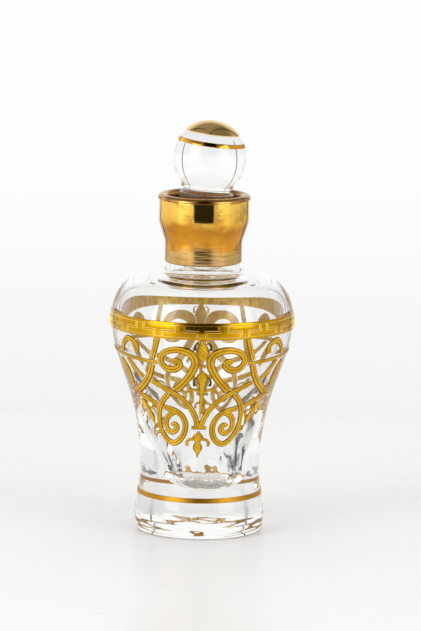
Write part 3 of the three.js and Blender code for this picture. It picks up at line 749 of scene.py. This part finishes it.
def strap_gold():
    """Fired paste gold: brown at the sunk edges of a strap, deeper along its groove, cloudy and grained
    between, dark on the hooks, and yellow all over underneath, where it is seen through the glass. The UV map
    is (along, across), with across above 1 on hooks and above 2 underneath.
    """
    made, tree = finish("raised_gilding", {"Metallic": 1.0})
    coordinates = node(tree, "ShaderNodeTexCoord")
    place = coordinates.outputs["Object"]
    across = node(tree, "ShaderNodeSeparateXYZ", {"Vector": coordinates.outputs["UV"]}).outputs["Y"]
    reach = calc(tree, "ABSOLUTE", across)
    specks = noise(tree, place, scale=1100.0, detail=3.0)
    clouds = ranged(tree, noise(tree, place, scale=240.0, detail=2.0), STRAP_CLOUDS)
    groove = ranged(tree, reach, GROOVE_REACH, (0.9, 0.0), "SMOOTHSTEP")
    edge = ranged(tree, reach, EDGE_REACH, kind="SMOOTHSTEP")
    front = blend(tree, clouds, STRAP_GOLD, STRAP_DEEP)
    for share, tone in ((groove, STRAP_GROOVE_GOLD), (edge, STRAP_EDGE),
                        (calc(tree, "GREATER_THAN", reach, HOOK_FROM), HOOK_DARK)):
        front = blend(tree, share, front, tone)
    back = blend(tree, clouds, UNDER_GOLD, UNDER_DARK)
    two_faced(tree, calc(tree, "GREATER_THAN", reach, UNDER_FROM), front, back, specks,
              gloss=(0.24, 0.42), matt=0.2, relief=0.2)
    return made


raised_gilding = strap_gold()


def gilded(name, runs, turns, *nodes):
    """Strapwork piece from runs, at the turn that a mapping of its angle gives. From LEAN_START to LEAN_END
    the hand-drawn work strays round the glass by the square of the drop.
    """
    surfaces = []
    for places, lift, uv in runs:
        angle, drop = places[..., 0], places[..., 1]
        stray = MOTIF_LEAN * (np.clip(drop, LEAN_START, LEAN_END) - LEAN_START) ** 2
        turned_places = np.stack([turns(angle) - stray, drop], axis=-1)
        surfaces.append(skin(surface(turned_places, lift), uv))
    return piece(name, surfaces, raised_gilding, "bottle", "raised_gilding", *nodes, crease=50)


# Paths of half a motif, in degrees from its middle and millimetres below the key band.
scroll = drawn([(22.6, 20.2), (17.6, 18.9), (11.8, 15.8), (7.2, 12.3), (5, 8.6), (8.2, 5.4), (16.6, 4.2),
                (25.2, 5.5), (28.8, 8.4), (25.6, 11.3), (19.2, 11.7), (15.2, 10.1), (15.9, 8.6), (18.4, 8.5),
                (19.6, 9.4)])
loop = drawn([(31.4, 26.6), (28, 27), (21.4, 27.7), (15, 29.7), (11.8, 33.4), (14.2, 37.5), (21.3, 40),
              (28.8, 39), (35.4, 35.3), (36.9, 30.6), (34, 26), (28.6, 22.6), (22.6, 20.2)])
curl = drawn([(20.4, 28), (25.9, 29.4), (29.5, 31.7), (29.4, 34.6), (25, 36.1), (20.4, 35.2), (19.6, 33.7),
              (22, 32.9), (24, 33.7)])
stem = drawn([(1.7, TIE_DROP), (2.9, 31), (7.3, 27), (14.6, 23.2), (24, 20.3), (37, 17.6), (43, 15.8)])
upper_leg = drawn([(35.6, 9.2), (36.4, 11), (39.2, 14.2), (43.8, 17.2), (50.2, 19.8), CORNER])
lower_leg = drawn([CORNER, (47.5, 24.4), (36, 26.3)])
stem_tip = drawn([(42, 17.6), (46.1, 16.3), (51.4, 14.2), (56.6, 11.7), (60.5, 9.3)])
band_strap = drawn([(29.6, 0.3), (32, 4.2), (35.4, 8.6)])
thin = drawn([(28.8, 9.6), (44, 9.4), (66, 8.8), (90, 8.5), (114, 8.8), (136, 9.4), (151.2, 9.6)])
crook = drawn([(65.2, 8.4), (61.2, 4.5), (55.5, 2.2), (50, 3), (47.6, 4.6), (48.4, 6.8)])
leaf = drawn([(69.5, 10.4), (67, 12.6), (64.4, 15.4), (62.2, 19.8)])
corner_blade = drawn([(56, 24.8), (52, 27), (47.4, 29.6), (44, 32), (42.2, 34.8)])
lozenge_hook = drawn([(2.4, 1.9), (3.6, 1.5), (4.8, 2.1), (5.2, 3.2), (4.6, 4.2)])
spear_hook = drawn([(2.7, 14.4), (4.2, 14.5), (5.6, 15.4), (6.0, 16.6), (5.3, 17.8)])

# Arms of a blade, in degrees aside and shares of its length.
lily_arms = [(0.3, 0.3), (4.2, 0.3), (7.8, 0.33), (10, 0.44), (9.3, 0.57)]
spear_arms = [(0.3, 0.45), (5.4, 0.4), (9.6, 0.405), (12, 0.48)]


def mirrored(path, about=0.0):
    """The same path on the other side of an angle."""
    return np.column_stack([2 * about - path[:, 0], path[:, 1]])


def both(over):
    """A strap in the way on both sides of the middle."""
    return [over, (mirrored(over[0]), over[1])]


def extended(path, first, last):
    """Path with a straight lead of a few millimetres added before its first place or after its last."""
    lead = np.arange(1, 2 * STRAP_W / PATH_STEP)[:, None]
    before = path[0] + (path[0] - path[1]) * lead[::-1] if first else path[:0]
    after = path[-1] + (path[-1] - path[-2]) * lead if last else path[:0]
    return np.vstack([before, path, after])


def tie(drop, reach):
    """Level path across the middle of a motif."""
    return drawn([(-reach, drop), (0, drop), (reach, drop)])


def swell(share, at, spread):
    """Bell-shaped swelling of a blade: exp(-((share - at) / spread)^2)."""
    return np.exp(-((share - at) / spread) ** 2)


def scroll_width(share):
    """Scroll: a pen stroke that is broadest beside the middle of the motif and thins over the top."""
    return (SCROLL_W + 0.4 * swell(share, 0.34, 0.14) - 0.4 * swell(share, 0.6, 0.1)
            - 0.5 * swell(share, 0.96, 0.1))


def lozenge_width(share):
    """Lozenge on a short neck, widest a little below half way."""
    return np.interp(share, [0, LOZENGE_NECK, LOZENGE_CORNER, 1],
                     [LOZENGE_NECK_W, LOZENGE_NECK_W, LOZENGE_W, TIP_W])


def spear_width(share):
    """Spear: a rounded head with a belly, and a long blade that tapers to the fork of the stems."""
    return (TIP_W + SPEAR_BLADE_W * (1 - share) * (1 - swell(share, 0, 0.05))
            + (SPEAR_W - SPEAR_BLADE_W) * swell(share, 0.15, 0.1))


def lily_width(share):
    """Lily: a domed head, a waist, and a pointed blade."""
    return (TIP_W + (LILY_W - TIP_W) * swell(share, 0.22, 0.15)
            + (LILY_BLADE_W - TIP_W) * swell(share, 0.62, 0.2))


def leaf_width(share):
    """Leaf, widest in its middle, with blunt ends."""
    return TIP_W + (LEAF_W - TIP_W) * np.sqrt(np.sin(np.pi * np.clip(share, 0.01, 0.99)))


def crook_width(share):
    """Crook: an even stroke that ends in a bulb."""
    return CROOK_W + CROOK_BULB * swell(share, 0.9, 0.1)


def hook_width(share):
    """Drop-shaped hook: a thin start that swells to a round end."""
    return TIP_W + (HOOK_W - TIP_W) * share ** 2


def armed_blade(path, width, arms, arm_w, overs, scale=1.0):
    """Hatched blade along a path, with two thin arms that leave it on either side and curl down."""
    runs = strap(path, width, overs, hatch=HATCH, rows=31)
    aside, share = np.array(arms).T
    middle, drop = (np.interp(share, np.linspace(0, 1, len(path)), path[:, k]) for k in (0, 1))
    for hand in (-1, 1):
        arm = drawn(np.column_stack([middle + hand * aside * scale, drop]))
        runs += strap(arm, arm_w, overs, rows=9)
    return runs


def hooks(hook):
    """Pair of small dark hooks that curl down beside a blade."""
    return [run for path in (hook, mirrored(hook)) for run in strap(path, hook_width, tone=HOOK_TONE, rows=7)]


zigzag = np.vstack([upper_leg, lower_leg[1:]])
over_scroll, over_loop, over_stem = (scroll, SCROLL_W / 2), (loop, STRAP_W / 2), (stem, STEM_W / 2)
over_thin, over_zigzag = (thin, THIN_W / 2), (zigzag, LEG_W / 2)
corner_point = surface(np.array(CORNER))
upper_way = surface(upper_leg[-FOLD_STEPS]) - corner_point
lower_way = surface(lower_leg[FOLD_STEPS]) - corner_point
fold = upper_way / np.linalg.norm(upper_way) - lower_way / np.linalg.norm(lower_way)
halves = {
    "scroll": strap(scroll, scroll_width, [over_stem]),
    "loop": strap(loop, STRAP_W, [over_stem]) + strap(curl, CURL_W, [over_stem]),
    "zigzag_strap": strap(extended(upper_leg, False, True), LEG_W, [over_thin], (corner_point, fold))
    + strap(extended(lower_leg, True, False), STRAP_W, [over_loop], (corner_point, -fold)),
    "stem_tip": strap(stem_tip, STEM_W, [over_thin, over_zigzag]),
    "band_strap": strap(band_strap, STEM_W, [over_thin, over_scroll]),
    "crook": strap(crook, crook_width, [over_thin]),
    "leaf": strap(leaf, leaf_width, [over_zigzag, over_thin]),
    "corner_lily": armed_blade(corner_blade, lambda share: CORNER_LILY * lily_width(share), lily_arms,
                               CORNER_LILY * ARM_W, [over_zigzag, over_loop], CORNER_LILY),
}
middles = {
    "lozenge": strap(upright(0, LOZENGE_DROP, LOZENGE_H), lozenge_width, both(over_scroll), hatch=-HATCH,
                     rows=41) + hooks(lozenge_hook),
    "scroll_tie": strap(tie(SCROLL_TIE_DROP, SCROLL_TIE_REACH), TIE_W, both(over_scroll)),
    "spear": armed_blade(upright(0, SPEAR_DROP, SPEAR_H), spear_width, spear_arms, ARM_W,
                         both(over_scroll) + both(over_stem)) + hooks(spear_hook),
    "stem_fork": strap(stem, STEM_W, [over_zigzag]) + strap(mirrored(stem), STEM_W, both(over_zigzag)[1:])
    + strap(tie(TIE_DROP, TIE_REACH), TIE_W, both(over_loop)),
    "lily": armed_blade(upright(0, LILY_DROP, LILY_H), lily_width, lily_arms, ARM_W, both(over_loop)),
}
for face, start, way in (("front", 0, 1), ("back", 180, -1)):
    for side, hand in (("left", -1), ("right", 1)):
        for form, runs in halves.items():
            name = f"{face}_{side}_{form}"
            gilded(f"gold_{name}", runs, lambda a: MOTIF_TURN + hand * (start + way * a), name)
    for form, runs in middles.items():
        gilded(f"gold_{face}_{form}", runs, lambda a: MOTIF_TURN + a + start, f"{face}_{form}")
thin_runs = strap(thin, THIN_W, [over_scroll, (mirrored(scroll, 90), SCROLL_W / 2)], rows=9)
for side, hand in (("left", -1), ("right", 1)):
    gilded(f"gold_{side}_thin_strap", thin_runs, lambda a: MOTIF_TURN + hand * a, f"{side}_thin_strap")

# Stopper
# A solid ball, stem and plug of clear glass in one piece, which leans in the mouth. A gilded cap and a gilded
# ring are painted on the ball, a little askew, and fired on.
STOPPER_LEAN = np.radians(4)
SEAT_Z = 111.9
BALL_R = 13.4
BALL_RISE = 24.35
STEM_R = 9.4
STEM_FOOT = 13.4
PLUG_R = 8.4
PLUG_DEPTH = 8.5
PLUG_CHAMFER = 0.9
PLUG_FACE_R = PLUG_R - PLUG_CHAMFER - 1
STOPPER_ROUNDING = 0.3
CAP_EDGE = 44.0
RING_AT = 27.0
RING_HALF = 3.6
PAINT_TILT = np.radians(2.5)
STOPPER_SIDES = 160
TOP_LATITUDE = 89.8
CAP_GOLD = display(250, 210, 136)
CAP_DEEP = display(234, 184, 104)


def leaning(grid, turn=STOPPER_LEAN, foot=SEAT_Z):
    """Grid turned about the Y axis and set on its foot: the top goes towards +X."""
    x, y, z = grid[..., 0], grid[..., 1], grid[..., 2]
    across, up = x * np.cos(turn) + z * np.sin(turn), foot - x * np.sin(turn) + z * np.cos(turn)
    return np.stack([across, y, up], axis=-1)


def ball_skin(low, high, steps):
    """Zone of gilding between two latitudes of the ball, sunk a little into the glass and drawn in at its
    edges. One that reaches 90 degrees is a cap.
    """
    cap = high >= 90
    outer, inner = BALL_R + GILD_RISE, BALL_R - GILD_SINK
    latitude = np.radians(np.linspace(low, min(high, TOP_LATITUDE), steps))
    edge = np.minimum(latitude - latitude[0], np.inf if cap else latitude[-1] - latitude) * BALL_R / GILD_RISE
    radius = inner + (outer - inner) * np.sqrt(1 - (1 - np.minimum(1, edge)) ** 2)
    front = np.column_stack([radius * np.cos(latitude), radius * np.sin(latitude)])
    back = inner * np.column_stack([np.cos(latitude), np.sin(latitude)])[::-1]
    profile = np.vstack([back, front] if cap else [front, back])
    grid = leaning(leaning(turned(profile, STOPPER_SIDES), PAINT_TILT, BALL_RISE))
    return skin(grid, wrap=(not cap, True))


ball_foot = np.degrees(np.arccos(STEM_R / BALL_R))
stopper_profile = np.vstack([
    [(POLE_R, -PLUG_DEPTH)],
    rounded([(PLUG_FACE_R, -PLUG_DEPTH), (PLUG_R - PLUG_CHAMFER, -PLUG_DEPTH),
             (PLUG_R, PLUG_CHAMFER - PLUG_DEPTH), (PLUG_R, STEM_FOOT), (STEM_R, STEM_FOOT),
             (STEM_R, BALL_RISE - BALL_R * np.sin(np.radians(ball_foot)))], STOPPER_ROUNDING),
    arc((0, BALL_RISE), BALL_R, BALL_R, -ball_foot, TOP_LATITUDE, 90)[1:],
])
piece("clear_stopper", [skin(leaning(turned(stopper_profile, STOPPER_SIDES)))], clear_glass,
      "stopper", "clear_glass", "stopper_glass")
cap_gilding = gold("cap_gilding", CAP_GOLD, CAP_DEEP, roughness=0.1, grain=0.04)
piece("gold_stopper_cap", [ball_skin(CAP_EDGE, 90, 60)], cap_gilding, "stopper", "bright_gilding",
      "stopper_cap_gilding")
piece("gold_stopper_ring", [ball_skin(RING_AT - RING_HALF, RING_AT + RING_HALF, 14)], bright_gilding,
      "stopper", "bright_gilding", "stopper_ring_gilding")

# Stopper seal
# A moulded sleeve of soft, milky plastic, pushed over the plug. Its flange rests in the funnel of the mouth,
# and it lifts out with the stopper.
SEAL_BORE_R = 8.6
SEAL_TOP_R = 9.9
SEAL_TOP = 11.6
SEAL_DEPTH = 7.0
SEAL_GAP = 0.3
SLEEVE_R = BORE_R - SEAL_GAP - SEAL_DEPTH * np.sin(STOPPER_LEAN)
SLEEVE_TOP = -5.1
FLANGE_R = 12.2
FLANGE_EDGE = 0.8
FLANGE_TOP = 2.4
SEAL_ROUNDING = 0.4
SEAL_SEAM = 0.1
SEAL_MILK = display(224, 196, 154)

seal_profile = rounded([(SEAL_BORE_R, 0), (SEAL_BORE_R, -SEAL_DEPTH), (SLEEVE_R, -SEAL_DEPTH),
                        (SLEEVE_R, SLEEVE_TOP), (FLANGE_R, FLANGE_EDGE), (SEAL_TOP_R, FLANGE_TOP),
                        (SEAL_TOP_R, SEAL_TOP), (SEAL_BORE_R, SEAL_TOP), (SEAL_BORE_R, SEAL_SEAM)],
                       SEAL_ROUNDING)
seal_plastic, tree = finish("seal_plastic", {
    "Base Color": SEAL_MILK,
    "IOR": 1.42,
    "Transmission Weight": 0.9,
})
specks = noise(tree, node(tree, "ShaderNodeTexCoord").outputs["Object"], scale=300.0, detail=2.0)
drive(tree, {
    "Roughness": ranged(tree, specks, target=(0.08, 0.16)),
    "Normal": bumped(tree, specks, strength=0.04, distance=0.0001),
})
piece("milky_seal", [skin(leaning(turned(seal_profile, STOPPER_SIDES)), wrap=(True, True))], seal_plastic,
      "seal", "seal_plastic", "stopper_seal")

# Table
# A white, softly glossy table top that ends behind and in front of the bottle. Ragged dark grey patches are
# painted into its colour to the left and the right, and show only through the glass: a painted reflection
# that gives the glass its dark lines.
TABLE_FRONT = -0.6
TABLE_BACK = 0.217
TABLE_SIDE = 1.6
TABLE_TOP = -0.0003
TABLE_WHITE = display(246, 246, 245)
PAINTED_REFLECTION_GREY = display(40, 42, 46)
PAINTED_PATCH_ASIDE = 0.057
PAINTED_PATCH_HALF_W = 0.022
PAINTED_PATCH_BEHIND = 0.03
PAINTED_PATCH_HALF_L = 0.05
PAINTED_PATCH_RAGS = (0.44, 0.5)

table_mesh = bpy.data.meshes.new("table")
corners = [(-TABLE_SIDE, TABLE_FRONT), (TABLE_SIDE, TABLE_FRONT),
           (TABLE_SIDE, TABLE_BACK), (-TABLE_SIDE, TABLE_BACK)]
table_mesh.from_pydata([(x, y, TABLE_TOP) for x, y in corners], [], [(0, 1, 2, 3)])
table = placed("table", table_mesh)
table_white, tree = finish("table_white", {"Specular IOR Level": 0.4})
place = node(tree, "ShaderNodeTexCoord").outputs["Object"]
spot = node(tree, "ShaderNodeSeparateXYZ", {"Vector": place}).outputs
dark = node(tree, "ShaderNodeLightPath").outputs["Is Transmission Ray"]
# Painted reflection: ragged grey patches in the table's colour, only for rays that come through the glass.
for share in (calc(tree, "COMPARE", calc(tree, "ABSOLUTE", spot["X"]), PAINTED_PATCH_ASIDE, PAINTED_PATCH_HALF_W),
              calc(tree, "COMPARE", spot["Y"], PAINTED_PATCH_BEHIND, PAINTED_PATCH_HALF_L),
              ranged(tree, noise(tree, place, scale=34.0, detail=2.0), PAINTED_PATCH_RAGS)):
    dark = calc(tree, "MULTIPLY", dark, share)
drive(tree, {
    "Base Color": blend(tree, dark, TABLE_WHITE, PAINTED_REFLECTION_GREY),
    "Roughness": ranged(tree, noise(tree, place, scale=14.0, detail=3.0), target=(0.22, 0.36)),
})
table_mesh.materials.append(table_white)

# Room and lamps
# A white backdrop that greys towards the table, with two dark gaps behind the bottle, a dimmer ceiling and
# right wall, a dark front, and two large soft lamps in front, of which the right one is weaker.
SKY_LEVEL = 0.84
BACKDROP_RISE, BACKDROP_LEVELS = (-0.187, -0.135), (0.893, 0.985)
CEILING_RISE, CEILING_LEVELS = (0.4, 0.75), (1.0, 0.3)
FRONT_BEARING, FRONT_LEVELS = (-0.92, -0.872), (0.02, 1.0)
RIGHT_BEARING, RIGHT_LEVELS = (0.2, 0.5), (1.0, 0.7)
GAP_BEARING = math.sin(math.radians(36))
GAP_HALF = 0.035
GAP_HALF_THROUGH = 0.012
LAMP_SIZE = (0.7, 0.9)
LAMP_ASIDE, LAMP_Y, LAMP_Z = 0.95, -0.75, 0.55
LAMP_AIM = Vector((0, 0, 0.08))
LEFT_LAMP_POWER = 5.0
RIGHT_LAMP_POWER = 3.4

world = bpy.data.worlds.new("studio")
bpy.context.scene.world = world
world.use_nodes = True
tree = world.node_tree
sky = tree.nodes["Background"]
sky.inputs["Color"].default_value = (1, 1, 1, 1)
way = node(tree, "ShaderNodeTexCoord").outputs["Generated"]
rise = node(tree, "ShaderNodeSeparateXYZ", {"Vector": way}).outputs["Z"]
compass = node(tree, "ShaderNodeSeparateXYZ", {"Vector": bearing(tree, way)}).outputs
ray = node(tree, "ShaderNodeLightPath").outputs
backdrop = ranged(tree, rise, BACKDROP_RISE, BACKDROP_LEVELS)
gap_half = ranged(tree, ray["Is Transmission Ray"], target=(GAP_HALF, GAP_HALF_THROUGH))
gap = calc(tree, "COMPARE", calc(tree, "ABSOLUTE", compass["X"]), GAP_BEARING, gap_half)
gap_behind = calc(tree, "MULTIPLY", gap, calc(tree, "GREATER_THAN", compass["Y"], 0.0))
walls = calc(tree, "MULTIPLY", backdrop, calc(tree, "SUBTRACT", 1.0, gap_behind))
room = walls
for dimmer in (ranged(tree, compass["Y"], FRONT_BEARING, FRONT_LEVELS, "SMOOTHSTEP"),
               ranged(tree, compass["X"], RIGHT_BEARING, RIGHT_LEVELS),
               ranged(tree, rise, CEILING_RISE, CEILING_LEVELS, "SMOOTHSTEP")):
    room = calc(tree, "MULTIPLY", room, dimmer)
level = SKY_LEVEL
for kind, seen in (("Is Glossy Ray", room), ("Is Transmission Ray", walls), ("Is Camera Ray", backdrop)):
    level = node(tree, "ShaderNodeMix", {"Factor": ray[kind], "A": level, "B": seen}).outputs["Result"]
tree.links.new(level, sky.inputs["Strength"])

for side, hand, power in (("left", -1, LEFT_LAMP_POWER), ("right", 1, RIGHT_LAMP_POWER)):
    light = bpy.data.lights.new(f"{side}_lamp", "AREA")
    light.shape = "RECTANGLE"
    light.size, light.size_y = LAMP_SIZE
    light.energy = power
    lamp = placed(f"{side}_lamp", light)
    lamp.location = (LAMP_ASIDE * hand, LAMP_Y, LAMP_Z)
    lamp.rotation_euler = (LAMP_AIM - lamp.location).to_track_quat("-Z", "Y").to_euler()
    lamp.visible_camera = False

# Camera
# Long lens, a little above the bottle and rolled by a degree. Light may pass many faces of glass.
IMAGE_H = 631
FOCAL_PIXELS = 4400.0
SENSOR = 36.0
CAMERA_DISTANCE = 1.6
CAMERA_ELEVATION = math.radians(9.5)
CAMERA_ROLL = math.radians(1.0)
CAMERA_AIM = Vector((0.0030, 0, 0.07835))
LIGHT_BOUNCES = 24

ahead = Vector((0, math.cos(CAMERA_ELEVATION), -math.sin(CAMERA_ELEVATION)))
level_up = Vector((0, math.sin(CAMERA_ELEVATION), math.cos(CAMERA_ELEVATION)))
right = math.cos(CAMERA_ROLL) * Vector((1, 0, 0)) + math.sin(CAMERA_ROLL) * level_up
lens = bpy.data.cameras.new("camera")
lens.sensor_fit = "VERTICAL"
lens.sensor_height = SENSOR
lens.lens = FOCAL_PIXELS / IMAGE_H * SENSOR
camera = placed("camera", lens)
axes = Matrix((right, right.cross(ahead), -ahead)).transposed()
camera.matrix_world = Matrix.Translation(CAMERA_AIM - CAMERA_DISTANCE * ahead) @ axes.to_4x4()
bpy.context.scene.camera = camera
bpy.context.scene.view_settings.view_transform = "Standard"
cycles = bpy.context.scene.cycles
cycles.max_bounces = cycles.transmission_bounces = cycles.glossy_bounces = LIGHT_BOUNCES
